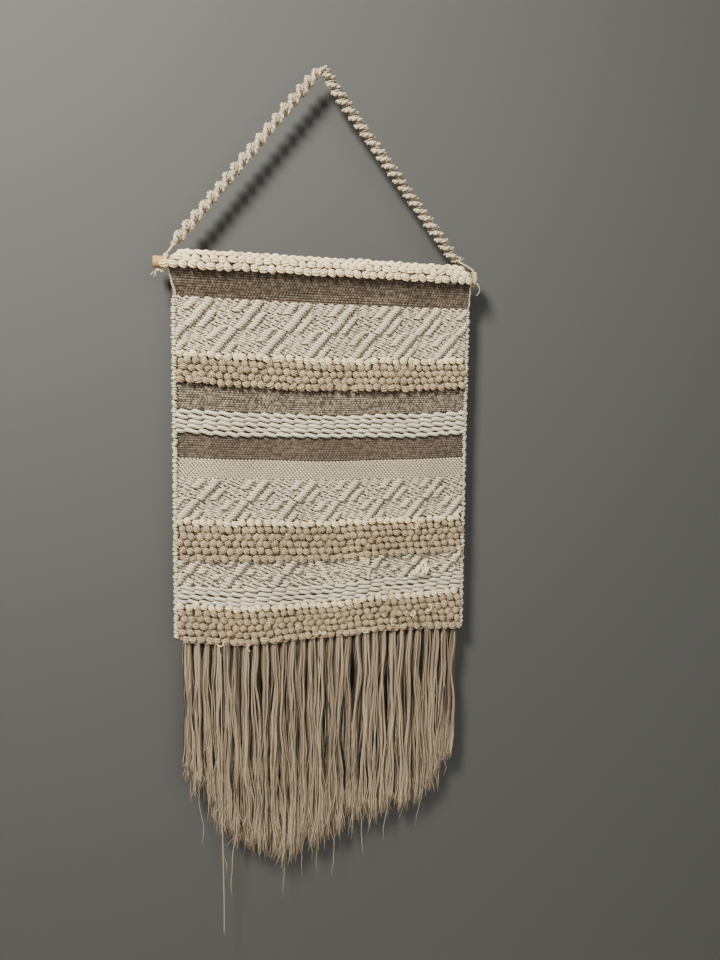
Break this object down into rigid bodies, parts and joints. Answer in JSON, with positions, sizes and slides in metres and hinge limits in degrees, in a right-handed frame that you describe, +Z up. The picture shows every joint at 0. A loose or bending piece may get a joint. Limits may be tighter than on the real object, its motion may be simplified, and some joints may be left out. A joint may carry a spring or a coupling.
{
  "type": "woven tapestry wall hanging",
  "caption": "Woven cotton wall hanging on a wooden rod, with loop pile, relief bands, roving rows, a long fringe and a knotted hanger cord.",
  "frame": {"origin": "middle of the hanger cord where it bends over its hook", "axes": "+Z up, +X to the right seen from the front, +Y towards the wall; the flat back of the cloth touches the wall plane"},
  "size_m": [0.4345, 0.0294, 1.1838],
  "materials": {
    "cream_cotton": "matte",
    "white_roving": "matte",
    "beige_loops": "matte",
    "taupe_weave": "matte",
    "ecru_cloth": "matte",
    "fringe_cotton": "matte",
    "pale_wood": "matte"
  },
  "bodies": {
    "hanger": {"hanger_cord": "cream_cotton", "tie_left": "cream_cotton", "tie_right": "cream_cotton"},
    "dowel": {"dowel": "pale_wood"},
    "cloth": {"ground_cloth": "ecru_cloth", "loop_band_1": "beige_loops", "loop_band_2": "beige_loops", "loop_band_3": "beige_loops", "relief_band_1": "white_roving", "relief_band_2": "white_roving", "relief_band_3": "white_roving", "roving_1_row_1": "white_roving", "roving_1_row_2": "white_roving", "roving_1_row_3": "white_roving", "roving_1_row_4": "white_roving", "roving_1_row_5": "white_roving", "roving_2_row_1": "white_roving", "roving_2_row_2": "white_roving", "roving_2_row_3": "white_roving", "roving_2_row_4": "white_roving", "selvedge_left": "white_roving", "selvedge_right": "white_roving", "taupe_band_1": "taupe_weave", "taupe_band_2": "taupe_weave", "taupe_band_3": "taupe_weave", "top_loop_row_1": "beige_loops", "top_loop_row_2": "beige_loops", "top_loop_row_3": "beige_loops", "twill_band": "white_roving"},
    "fringe": {"loose_strand": "fringe_cotton", "tassel_01": "fringe_cotton", "tassel_02": "fringe_cotton", "tassel_03": "fringe_cotton", "tassel_04": "fringe_cotton", "tassel_05": "fringe_cotton", "tassel_06": "fringe_cotton", "tassel_07": "fringe_cotton", "tassel_08": "fringe_cotton", "tassel_09": "fringe_cotton", "tassel_10": "fringe_cotton", "tassel_11": "fringe_cotton", "tassel_12": "fringe_cotton", "tassel_13": "fringe_cotton", "tassel_14": "fringe_cotton", "tassel_15": "fringe_cotton", "tassel_16": "fringe_cotton", "tassel_17": "fringe_cotton", "tassel_18": "fringe_cotton", "tassel_19": "fringe_cotton", "tassel_20": "fringe_cotton", "tassel_21": "fringe_cotton", "tassel_22": "fringe_cotton", "tassel_23": "fringe_cotton", "tassel_24": "fringe_cotton", "tassel_25": "fringe_cotton", "tassel_26": "fringe_cotton", "tassel_27": "fringe_cotton", "tassel_28": "fringe_cotton", "tassel_29": "fringe_cotton", "tassel_30": "fringe_cotton"}
  },
  "joints": [
    {"name": "rod_slide", "type": "slide", "parent": "hanger", "child": "dowel", "axis": [-1, 0, 0], "range_m": [0, 0.45]},
    {"name": "cloth_swing", "type": "hinge", "parent": "hanger", "child": "cloth", "pos_m": [0, 0, -0.254], "axis": [-1, 0, 0], "range_deg": [0, 60]},
    {"name": "fringe_swing", "type": "hinge", "parent": "cloth", "child": "fringe", "pos_m": [0, 0.0043, -0.756], "axis": [-1, 0, 0], "range_deg": [-70, 60]}
  ]
}
